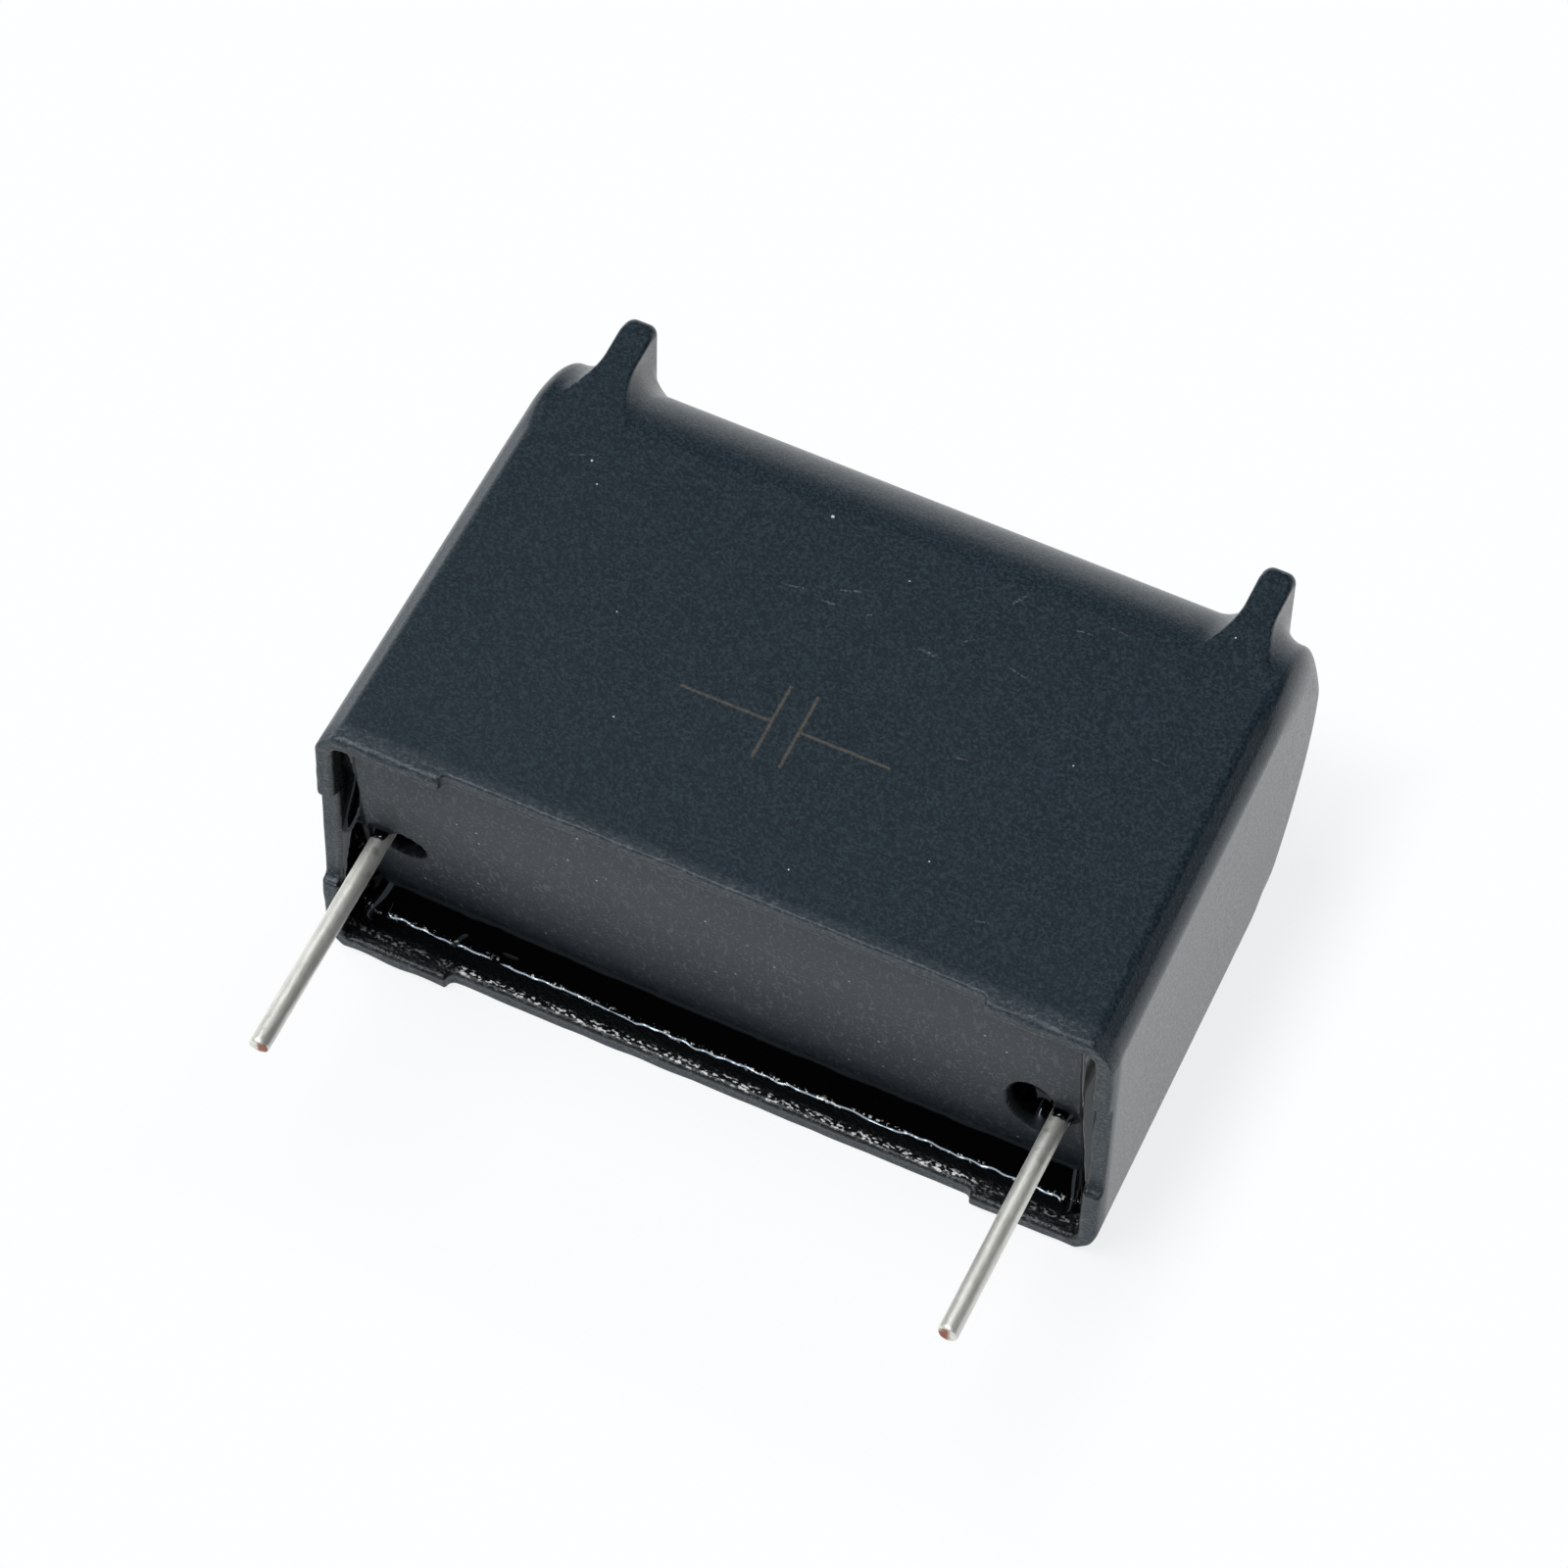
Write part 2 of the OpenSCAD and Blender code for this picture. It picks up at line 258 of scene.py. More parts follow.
def side_field(y, z):
    """Section of the case across its length: two large faces, edge radii and the crowned closed end."""
    upper = np.hypot(y - UPPER_Y, z - UPPER_Z) - UPPER_R
    lower = np.hypot(y - LOWER_Y, z - LOWER_R) - LOWER_R
    crown = np.hypot(y - CROWN_Y, z - CREST_Z) - CROWN_R
    in_upper = (y >= UPPER_Y) & (np.arctan2(z - UPPER_Z, y - UPPER_Y) >= UPPER_A)
    in_lower = (y >= LOWER_Y) & (np.arctan2(z - LOWER_R, y - LOWER_Y) <= LOWER_A)
    angle = np.arctan2(z - CREST_Z, y - CROWN_Y)
    in_crown = (angle >= LOWER_A) & (angle <= UPPER_A)
    flat = np.maximum(z - CASE_W, -z)
    return np.where(in_upper, upper, np.where(in_lower, lower, np.where(in_crown, crown, flat)))


def cavity_field(x, y, z):
    """Space inside the walls."""
    return rmax(end_field(x, y) + WALL, side_field(y, z) + WALL, CAVITY_CORNER_R)


def horn_field(x, y, z):
    """Both horns, and the distance outwards from a horn's middle."""
    out = np.abs(x) - HORN_X
    side = np.abs(out) - HORN_W / 2
    tip = y - TIP_Y
    back = tip * math.cos(HORN_LEAN) - (z - (CASE_W - HORN_T)) * math.sin(HORN_LEAN)
    top_r = HORN_TOP_R + HORN_TOP_GAIN * ease(*HORN_TOP_Y, y)
    horn = rmax(rmax(side, tip, HORN_EDGE_R), back, HORN_BACK_R)
    horn = np.maximum(horn, HORN_LOW_Z - z)
    return rmax(horn, z - CASE_W, top_r), out


def shell_field(end, side, y, z):
    """Outside of the case without horns and feet: chamfered ends that pass into the rounded closed end."""
    flat_edge = (end + side + EDGE_CHAMFER) / math.sqrt(2)
    straight = rmax(rmax(end, flat_edge, EDGE_R), side, FACE_EDGE_R)
    rx, rp = END_EDGE_R, END_EDGE_R + (END_CORNER_R - END_EDGE_R) * ease(*CORNER_GROWS_Z, z)
    u, v = np.maximum(end / rx + 1, 0), np.maximum(side / rp + 1, 0)
    size = (rx * u * u + rp * v * v) / np.maximum(u * u + v * v, 1e-9)
    rounded = (np.minimum(np.maximum(end / rx, side / rp), -1) + np.sqrt(u * u + v * v)) * size
    share = ease(*EDGE_CHANGES_Y, y)
    return (1 - share) * straight + share * rounded


def case_field(x, y, z):
    """The whole case: shell, horns with their fillets, feet, uneven rim and the space inside."""
    end, side = end_field(x, y), side_field(y, z)
    horn, out = horn_field(x, y, z)
    flare = ease(*FLARE_X, out) * ease(*FLARE_Z, z) * ease(*FLARE_Y, y)
    grown = ROOT_LEAST + (1 - ROOT_LEAST) * ease(*ROOT_GROWS_Z, z)
    root = (HORN_ROOT_R + HORN_FLARE_R * flare) * grown
    body = np.maximum(rmin(shell_field(end, side, y, z), horn, root), z - CASE_W)
    body = np.maximum(body, y - TIP_Y)
    uneven = sum(height * waves(x, y, z, scale, seed) for height, scale, seed in RIM_WAVES)
    chamfer = (np.maximum(end, side) - y + RIM_CHAMFER + CHAMFER_VARIES * uneven) / math.sqrt(2)
    body = rmax(body, chamfer, RIM_EDGE_R)
    body = rmax(body, -y + FEET_VARY * np.abs(uneven), RIM_EDGE_R)
    long_gap = rmax(y - FOOT_H + uneven, np.abs(x) - GAP_HALF_X, FOOT_STEP_R)
    end_gap = rmax(y - FOOT_H + uneven, np.abs(z - MID_Z) - (MID_Z - FOOT_Z), FOOT_STEP_R)
    body = rmax(body, -np.minimum(long_gap, end_gap), GAP_EDGE_R)
    return rmax(body, -(cavity_field(x, y, z) + uneven * ease(*RIM_WAVES_Y, y)), RIM_INNER_R)


# Resin's level

def wall_distance(x, z):
    """Distance from the lower wall and the end walls on the resin's level, round in the corners."""
    end = (HALF_L - WALL - RESIN_Y * math.tan(DRAFT) - np.abs(x)) * END_WALL_SHARE
    side = z - WALL
    u, v = np.maximum(LEVEL_CORNER_R - end, 0), np.maximum(LEVEL_CORNER_R - side, 0)
    return np.where(u + v > 0, LEVEL_CORNER_R - np.hypot(u, v), np.minimum(end, side))


def contact_distance(x, z):
    """The same, with the gentle waves of the meniscus."""
    return wall_distance(x, z) + CONTACT_WAVE * waves(x, 0, z, 2.6, 11)


def lead_distance(x, z):
    return np.hypot(np.abs(x) - LEAD_X, z - MID_Z) - LEAD_R


def pit_share(x, z, pit):
    """Distance from the middle of a hollow, 1 at its edge."""
    return np.hypot((x - pit[0]) / pit[2], (z - pit[1]) / pit[3])


def climb(s, width, start, end):
    """Rise at distance s from what the resin climbs; its slope grows from start at the crease to end."""
    a = width - s
    a = (a + np.hypot(a, CREASE)) / 2
    return start * a + (end - start) * a * (a / width) ** 4 / 5


def resin_level(x, z):
    """Depth of the resin: a tilted level, drawn up along the walls, in the corners and round the leads."""
    s = contact_distance(x, z)
    at_edge = WALL_SLOPE + WALL_VARIES * waves(x, 0, z, 1.1, 16)
    at_wall = soft_min(climb(s, MENISCUS_W, START_SLOPE, at_edge), CORNER_RISE, CORNER_SOFT)
    at_wall = at_wall + RIPPLE * waves(x, 0, z, 0.8, 15) * ease(*RIPPLE_S, s)
    at_lead = climb(np.maximum(lead_distance(x, z), 0), LEAD_W, LEAD_START, LEAD_SLOPE)
    rise = (np.maximum(at_wall, 0) ** JOIN_POWER + at_lead ** JOIN_POWER) ** (1 / JOIN_POWER)
    up = z - RESIN_LOW_Z
    level = RESIN_Y + RESIN_TILT * up + RESIN_BOW * up * up + LEVEL_WAVE * waves(x, 0, z, 4.0, 12, 5)
    level = level + ease(*LEFT_X, x) * (LEFT_DEEPER + LEFT_TILT * up)
    level = level - soft_min(rise, level - RESIN_TOP_Y, TOP_SOFT)
    for pit in PITS:
        hollow = soft_min(PIT_SLOPE * (1 - pit_share(x, z, pit)) * pit[2], PIT_DEPTH, PIT_SOFT)
        level = level + (hollow + np.hypot(hollow, CREASE)) / 2
    return level


def skin_distance(x, z):
    """Distance from the nearest edge of the level skin, negative on menisci and in the hollows."""
    skin = np.minimum(wall_distance(x, z) - MENISCUS_W, lead_distance(x, z) - LEAD_W)
    for pit in PITS:
        skin = np.minimum(skin, (pit_share(x, z, pit) - 1) * pit[2])
    return skin


# Meshing

def planes(spans):
    """Grid planes from spans (start, end, step)."""
    out = []
    for start, end, step in spans:
        n = max(1, round((end - start) / step))
        out += list(start + (end - start) * np.arange(n) / n)
    out.append(spans[-1][1])
    return np.array(out)


def mirrored(half):
    return np.concatenate([-half[::-1], half[half > 1e-9]])


CORNERS = [(i, j, k) for i in (0, 1) for j in (0, 1) for k in (0, 1)]
EDGES = [(a, b) for a in CORNERS for b in CORNERS if a < b and sum(abs(p - q) for p, q in zip(a, b)) == 1]


def net_points(values, cells, axes):
    """A point in each cell that the surface crosses: the mean of where it cuts the cell's edges."""
    total, hits = np.zeros((len(cells), 3)), np.zeros(len(cells))
    for a, b in EDGES:
        ia, ib = cells + a, cells + b
        fa, fb = values[tuple(ia.T)], values[tuple(ib.T)]
        cut = (fa < 0) != (fb < 0)
        t = np.where(cut, fa / np.where(cut, fa - fb, 1), 0)[:, None]
        pa = np.stack([axes[d][ia[:, d]] for d in range(3)], 1)
        pb = np.stack([axes[d][ib[:, d]] for d in range(3)], 1)
        total[cut] += (pa + t * (pb - pa))[cut]
        hits += cut
    return total / hits[:, None]


def net_quads(inside, ids):
    """One quad across each inner grid edge that the surface cuts, facing outwards."""
    quads = []
    for axis in range(3):
        u, v = (axis + 1) % 3, (axis + 2) % 3
        first = [slice(1, n - 1) for n in inside.shape]
        second = list(first)
        first[axis], second[axis] = slice(0, -1), slice(1, None)
        s0, s1 = inside[tuple(first)], inside[tuple(second)]
        at = np.argwhere(s0 != s1)
        outward = s0[tuple(at.T)]
        at[:, u] += 1
        at[:, v] += 1
        ring = []
        for du, dv in ((1, 1), (0, 1), (0, 0), (1, 0)):
            cell = at.copy()
            cell[:, u] -= du
            cell[:, v] -= dv
            ring.append(ids[tuple(cell.T)])
        quad = np.stack(ring, 1)
        quad[~outward] = quad[~outward][:, ::-1]
        quads.append(quad)
    return np.concatenate(quads)


def gradient(field, points):
    step = 1.5e-3
    g = np.empty_like(points)
    for d in range(3):
        low, high = points.copy(), points.copy()
        low[:, d] -= step
        high[:, d] += step
        g[:, d] = (field(*high.T) - field(*low.T)) / (2 * step)
    return g


def surface_net(field, xs, ys, zs):
    """Quads on a field's zero surface over an uneven box grid, moved onto the surface, with its normals."""
    values = field(*np.meshgrid(xs, ys, zs, indexing="ij"))
    inside = values < 0
    count = np.zeros([n - 1 for n in inside.shape], np.int8)
    for corner in CORNERS:
        count += inside[tuple(slice(o, n - 1 + o) for o, n in zip(corner, inside.shape))]
    active = (count > 0) & (count < 8)
    cells = np.argwhere(active)
    ids = np.full(active.shape, -1, np.int64)
    ids[active] = np.arange(len(cells))
    points = net_points(values, cells, (xs, ys, zs))
    most_move = 0.06
    for _ in range(4):
        g = gradient(field, points)
        length = np.maximum(np.linalg.norm(g, axis=1), 0.2)
        move = np.clip(field(*points.T) / length, -most_move, most_move)
        points -= (move / length)[:, None] * g
    g = gradient(field, points)
    normals = g / np.maximum(np.linalg.norm(g, axis=1), 1e-6)[:, None]
    return points, net_quads(inside, ids), normals


def add_piece(name, points, faces, normals, node, attributes):
    """Visible piece on the root body that stands for a node of the CAD model."""
    mesh = bpy.data.meshes.new(name)
    placed = (np.asarray(points) - (0, ORIGIN_Y, 0)) * MM
    mesh.from_pydata(placed.tolist(), [], [list(map(int, face)) for face in faces])
    mesh.polygons.foreach_set("use_smooth", [True] * len(mesh.polygons))
    for key, values in attributes.items():
        layer = mesh.attributes.new(key, "FLOAT", "POINT")
        layer.data.foreach_set("value", np.asarray(values, np.float32))
    mesh.update()
    if normals is not None:
        mesh.normals_split_custom_set_from_vertices(np.asarray(normals).tolist())
    obj = bpy.data.objects.new(name, mesh)
    bpy.context.scene.collection.objects.link(obj)
    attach(obj, "root")
    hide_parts(node)
    return obj


# Pieces

def case_piece():
    grid = mirrored(planes(CASE_GRID_X)), planes(CASE_GRID_Y), planes(CASE_GRID_Z)
    points, quads, normals = surface_net(case_field, *grid)
    x, y, z = points.T
    from_cavity = np.abs(cavity_field(x, y, z))
    # inside: where the inner walls get painted shade, and a smoother, bumpier finish
    inside = ease(*INSIDE_NEAR, from_cavity) * ease(*INSIDE_Y, y)
    # lip: the strip on the rim's inner edge where glints are painted
    lip = ease(*LIP_NEAR, from_cavity) * ease(*LIP_STARTS_Y, y) * ease(*LIP_ENDS_Y, y)
    lip = lip * (LIP_ELSEWHERE + (1 - LIP_ELSEWHERE) * ease(*LIP_Z, z))
    lip = lip * (1 - LIP_LESS_AT_FEET * ease(*LIP_FEET_X, np.abs(x)))
    masks = {"inside": inside, "lip": lip}
    return add_piece("moulded_case", points, quads, normals, "case", masks)


def reach_z(y, sign):
    """Height at which the resin's lower or upper side lies inside the case's wall at y."""
    inner, outer = CREST_Z, CREST_Z + sign * CASE_W
    for _ in range(40):
        middle = (inner + outer) / 2
        if side_field(np.array(y), np.array(middle)) + RESIN_INSET < 0:
            inner = middle
        else:
            outer = middle
    return inner


def resin_piece():
    """Level as a fine grid, with hidden sides carried down inside the walls and closed at the far end."""
    xs, zs = mirrored(planes(RESIN_GRID_X)), planes(RESIN_GRID_Z)
    gx, gz = (g.ravel() for g in np.meshgrid(xs, zs, indexing="ij"))
    points = [np.stack([gx, resin_level(gx, gz), gz], 1)]
    step = 2e-3
    slope_x = (resin_level(gx + step, gz) - resin_level(gx - step, gz)) / (2 * step)
    slope_z = (resin_level(gx, gz + step) - resin_level(gx, gz - step)) / (2 * step)
    normals = [np.stack([slope_x, -np.ones_like(gx), slope_z], 1)]
    grid = np.arange(len(gx)).reshape(len(xs), len(zs))
    quads = [np.stack([grid[:-1, :-1], grid[1:, :-1], grid[1:, 1:], grid[:-1, 1:]], -1).reshape(-1, 4)]
    ring = np.concatenate([grid[:-1, 0], grid[-1, :-1], grid[:0:-1, -1], grid[0, :0:-1]])
    ring_x, ring_up = gx[ring], (gz[ring] - RESIN_INSET) / (CASE_W - 2 * RESIN_INSET)
    count = len(gx)
    for y in RESIN_RINGS:
        low, high = reach_z(y, -1), reach_z(y, 1)
        x = ring_x * (RESIN_HALF - y * math.tan(DRAFT)) / RESIN_HALF
        deeper = count + np.arange(len(ring))
        points.append(np.stack([x, np.full_like(x, y), low + ring_up * (high - low)], 1))
        normals.append(np.stack([x / RESIN_HALF, np.zeros_like(x), 2 * ring_up - 1], 1))
        quads.append(np.stack([ring, deeper, np.roll(deeper, -1), np.roll(ring, -1)], 1))
        ring, count = deeper, count + len(ring)
    points, normals = np.concatenate(points), np.concatenate(normals)
    normals /= np.maximum(np.linalg.norm(normals, axis=1), 1e-6)[:, None]
    faces = np.concatenate(quads).tolist() + [ring[::-1].tolist()]
    x, y, z = points.T
    # Where the glint dots are painted along the meniscus
    from_line = np.abs(contact_distance(x, z) - GLINT_DOTS_S)
    painted_glint_dots = ease(*GLINT_DOTS_NEAR, from_line) * ease(*GLINT_DOTS_Z, z) * (y < RESIN_RINGS[0])
    masks = {"skin": skin_distance(x, z), "painted_glint_dots": painted_glint_dots}
    return add_piece("potting", points, faces, normals, "potting_resin", masks)


def lead_places():
    """Places of the rings along a lead, closer at the cut end and where it turns flat."""
    near_cut = [-LEAD_LEN, -LEAD_LEN + 0.02, -LEAD_LEN + 0.05, -LEAD_LEN + CUT_LEN]
    free = np.arange(-LEAD_LEN + 2 * CUT_LEN, LEAD_FLAT_Y + 0.001, LEAD_STEP)
    turning = np.linspace(LEAD_FLAT_Y + 0.1, LEAD_FLAT_Y + LEAD_TURN + 0.1, 6)
    return np.concatenate([near_cut, free, turning, [LEAD_END_Y - 0.05, LEAD_END_Y]])


def ring_faces(p, q):
    """Quads between two rings of points round a lead, which start at p and q."""
    after = [(a + 1) % LEAD_AROUND for a in range(LEAD_AROUND)]
    return [(p + a, q + a, q + b, p + b) for a, b in enumerate(after)]


def lead_piece(name, node, side, seed):
    """Slightly uneven round wire, flattened inside the resin; side is -1 for the left one."""
    middle_x = side * LEAD_X
    lean = np.random.default_rng(seed).uniform(0, 6.28)
    theta = np.arange(LEAD_AROUND) * 2 * math.pi / LEAD_AROUND
    strip_z = np.sign(np.sin(theta)) * (LEAD_FLAT_W - LEAD_FLAT_T) / 2 + LEAD_FLAT_T / 2 * np.sin(theta)
    points, faces = [], []
    places = lead_places()
    for i, y in enumerate(places):
        flat = float(ease(LEAD_FLAT_Y, LEAD_FLAT_Y + LEAD_TURN, np.array(y)))
        at_cut = max(0.0, 1 - (y + LEAD_LEN) / CUT_LEN)
        r = LEAD_R - CUT_ROUND * at_cut ** 2
        r = r - LEAD_WAVE * (1 + waves(0, y, theta, LEAD_WAVE_LEN, seed, 4)) * (1 - flat)
        x = (1 - flat) * r * np.cos(theta) + flat * LEAD_FLAT_T / 2 * np.cos(theta)
        z = (1 - flat) * r * np.sin(theta) + flat * strip_z
        slant = CUT_SLANT * np.clip(np.cos(theta - lean), 0, 1) * at_cut
        points += list(zip(middle_x + x, y + slant, MID_Z + z))
        if i:
            faces += ring_faces((i - 1) * LEAD_AROUND, i * LEAD_AROUND)
    # The cut end is closed by rings towards its middle, a little uneven
    outer = 0
    for n, r in enumerate(CUT_RINGS):
        inner = len(points)
        dy = 0.02 * np.cos(theta - lean) * r / LEAD_R + 0.008 * np.sin(5 * theta + n)
        y = -LEAD_LEN + 0.012 + np.maximum(dy, -0.01)
        points += list(zip(middle_x + r * np.cos(theta), y, MID_Z + r * np.sin(theta)))
        faces += [face[::-1] for face in ring_faces(outer, inner)]
        outer = inner
    middle = len(points)
    points.append((middle_x, -LEAD_LEN + 0.015, MID_Z))
    faces += [(outer + (a + 1) % LEAD_AROUND, middle, outer + a) for a in range(LEAD_AROUND)]
    last = (len(places) - 1) * LEAD_AROUND
    faces.append(tuple(last + a for a in range(LEAD_AROUND)))
    return add_piece(name, points, faces, None, node, {})


# Materials

class Nodes:
    """Short calls for building one material's nodes."""

    def __init__(self, name):
        self.material = bpy.data.materials.new(name)
        self.material.use_nodes = True
        self.tree = self.material.node_tree
        self.tree.nodes.clear()
        self.out = self.tree.nodes.new("ShaderNodeOutputMaterial")

    def add(self, kind, inputs=None, **settings):
        node = self.tree.nodes.new(kind)
        for key, value in settings.items():
            setattr(node, key, value)
        for key, value in (inputs or {}).items():
            if isinstance(value, bpy.types.NodeSocket):
                self.tree.links.new(value, node.inputs[key])
            else:
                node.inputs[key].default_value = value
        return node

    def math(self, op, a, b=0.0, c=0.0, clamp=False):
        return self.add("ShaderNodeMath", {0: a, 1: b, 2: c}, operation=op, use_clamp=clamp).outputs[0]

    def times(self, a, b):
        return self.math("MULTIPLY", a, b)

    def noise(self, at, scale, detail=2.0, rough=0.5, distort=0.0):
        inputs = {"Vector": at, "Scale": scale, "Detail": detail, "Roughness": rough, "Distortion": distort}
        return self.add("ShaderNodeTexNoise", inputs).outputs["Fac"]

    def remap(self, value, a, b, c=0.0, d=1.0, smooth=False):
        inputs = {"Value": value, "From Min": a, "From Max": b, "To Min": c, "To Max": d}
        kind = "SMOOTHSTEP" if smooth else "LINEAR"
        return self.add("ShaderNodeMapRange", inputs, interpolation_type=kind, clamp=True).outputs[0]

    def mix(self, share, a, b):
        return self.add("ShaderNodeMix", {0: share, 6: a, 7: b}, data_type="RGBA").outputs[2]

    def scaled(self, at, scale):
        return self.add("ShaderNodeVectorMath", {0: at, 1: scale}, operation="MULTIPLY").outputs[0]

    def millimetres(self):
        return self.scaled(self.add("ShaderNodeTexCoord").outputs["Object"], (1 / MM, 1 / MM, 1 / MM))

    def split(self, at):
        return self.add("ShaderNodeSeparateXYZ", {0: at}).outputs

    def attribute(self, name):
        return self.add("ShaderNodeAttribute", attribute_name=name).outputs["Fac"]

    def spot(self, at, middle, half, turn=0.0):
        """Soft ellipse turned about z: 1 in its middle, 0 from its edge on."""
        inputs = {"Vector": at, "Location": middle, "Scale": half, "Rotation": (0, 0, turn)}
        local = self.add("ShaderNodeMapping", inputs, vector_type="TEXTURE").outputs[0]
        return self.add("ShaderNodeTexGradient", {"Vector": local}, gradient_type="SPHERICAL").outputs["Fac"]

    def largest(self, values):
        top = values[0]
        for value in values[1:]:
            top = self.math("MAXIMUM", top, value)
        return top

    def bump(self, height, strength, distance):
        inputs = {"Height": height, "Strength": strength, "Distance": distance}
        return self.add("ShaderNodeBump", inputs).outputs[0]

    def surface(self, inputs):
        """The finished material, with one principled shader."""
        return self.finish(self.add("ShaderNodeBsdfPrincipled", inputs).outputs[0])

    def finish(self, shader):
        self.tree.links.new(shader, self.out.inputs["Surface"])
        return self.material


def rgb(r, g, b):
    return (r, g, b, 1.0)


# Plastic's colours: the body's two tones, light grain, painted shade on the inner walls, scuffs, and painted
# highlights at the rim: flecks and glints
PLASTIC_DARK = rgb(0.0047, 0.0106, 0.0172)
PLASTIC_LIGHT = rgb(0.0058, 0.0124, 0.0196)
PLASTIC_GRAIN = rgb(0.030, 0.047, 0.0605)
PLASTIC_INSIDE_SHADE = rgb(0.0015, 0.0018, 0.0020)
PLASTIC_SCUFF = rgb(0.15, 0.16, 0.175)
PLASTIC_FLECK_HIGHLIGHT = rgb(0.105, 0.118, 0.125)
PLASTIC_PAINTED_GLINT = rgb(0.85, 0.86, 0.87)
PLASTIC_TINT = rgb(0.88, 0.95, 1.0)
# Places on the materials are in the frame's own coordinates.
# Scuffs on the large face: middle x and y, half length, angle in degrees, half width, strength
SCUFFS = (
    (-2.6, 6.9, 0.75, 12, 0.05, 0.55), (-0.9, 7.55, 0.55, 20, 0.07, 0.7), (-1.3, 6.75, 0.45, 5, 0.08, 0.5),
    (0.2, 6.9, 0.35, 28, 0.06, 0.6), (2.9, 6.3, 0.5, -4, 0.08, 0.7), (4.9, 9.9, 0.4, 62, 0.09, 0.8),
    (6.2, 6.9, 0.7, -12, 0.05, 0.5), (7.6, 9.6, 0.5, 8, 0.05, 0.5), (8.7, 10.2, 0.6, -6, 0.05, 0.5),
    (3.9, 7.4, 0.4, 40, 0.05, 0.4), (5.8, 2.6, 0.35, 10, 0.05, 0.4), (12.3, 5.6, 0.6, -3, 0.05, 0.45),
    (-12.4, 8.8, 0.9, 25, 0.05, 0.35), (9.4, -3.4, 0.4, 15, 0.06, 0.4),
)
# Single white dust grains on the large face: x, y, radius
DUST = (
    (-11.98, 8.71, 0.040), (-11.35, 7.83, 0.032), (-2.86, 10.3, 0.060), (12.7, 11.8, 0.03),
    (-6.3, -1.2, 0.03), (2.2, -4.4, 0.03), (0.9, 8.9, 0.027), (9.6, 4.1, 0.027), (-8.2, 3.0, 0.025),
    (6.6, -1.9, 0.027),
)
DUST_COLOUR = rgb(0.75, 0.76, 0.75)
# Where the plastic near the open side starts to show light flecks, painted highlights of its rough rim
RIM_FLECKS_Y = 1.0 - ORIGIN_Y
# Two-plate symbol on the large face: middle, plate gap, plate height, reach of its lines, line width
MARK_X = -0.5
MARK_Y = 1.1
MARK_GAP = 1.1
MARK_H = 3.4
MARK_REACH = 4.2
MARK_LINE = 0.11
MARK_COLOUR = rgb(0.098, 0.088, 0.074)


def symbol_mask(n, x, y):
    dx = n.math("ABSOLUTE", n.math("SUBTRACT", x, MARK_X))
    dy = n.math("ABSOLUTE", n.math("SUBTRACT", y, MARK_Y))
    soft = MARK_LINE * 0.35
    from_plate = n.math("ABSOLUTE", n.math("SUBTRACT", dx, MARK_GAP / 2))
    plate = n.times(n.remap(from_plate, MARK_LINE / 2 + soft, MARK_LINE / 2 - soft),
                    n.remap(dy, MARK_H / 2 + soft, MARK_H / 2 - soft))
    line = n.times(n.remap(dy, MARK_LINE / 2 + soft, MARK_LINE / 2 - soft),
                   n.remap(dx, MARK_GAP / 2 - soft, MARK_GAP / 2))
    line = n.times(line, n.remap(dx, MARK_REACH + soft, MARK_REACH - soft))
    return n.math("MAXIMUM", plate, line)


def scuff_mask(n, mm):
    scuffs = []
    for x, y, half, angle, width, strength in SCUFFS:
        spot = n.spot(mm, (x, y, CASE_W), (half, width, 0.1), math.radians(angle))
        scuffs.append(n.times(spot, strength))
    return n.largest(scuffs)


def dust_mask(n, mm):
    return n.largest([n.spot(mm, (x, y, CASE_W), (2 * r, 2 * r, 2 * r)) for x, y, r in DUST])


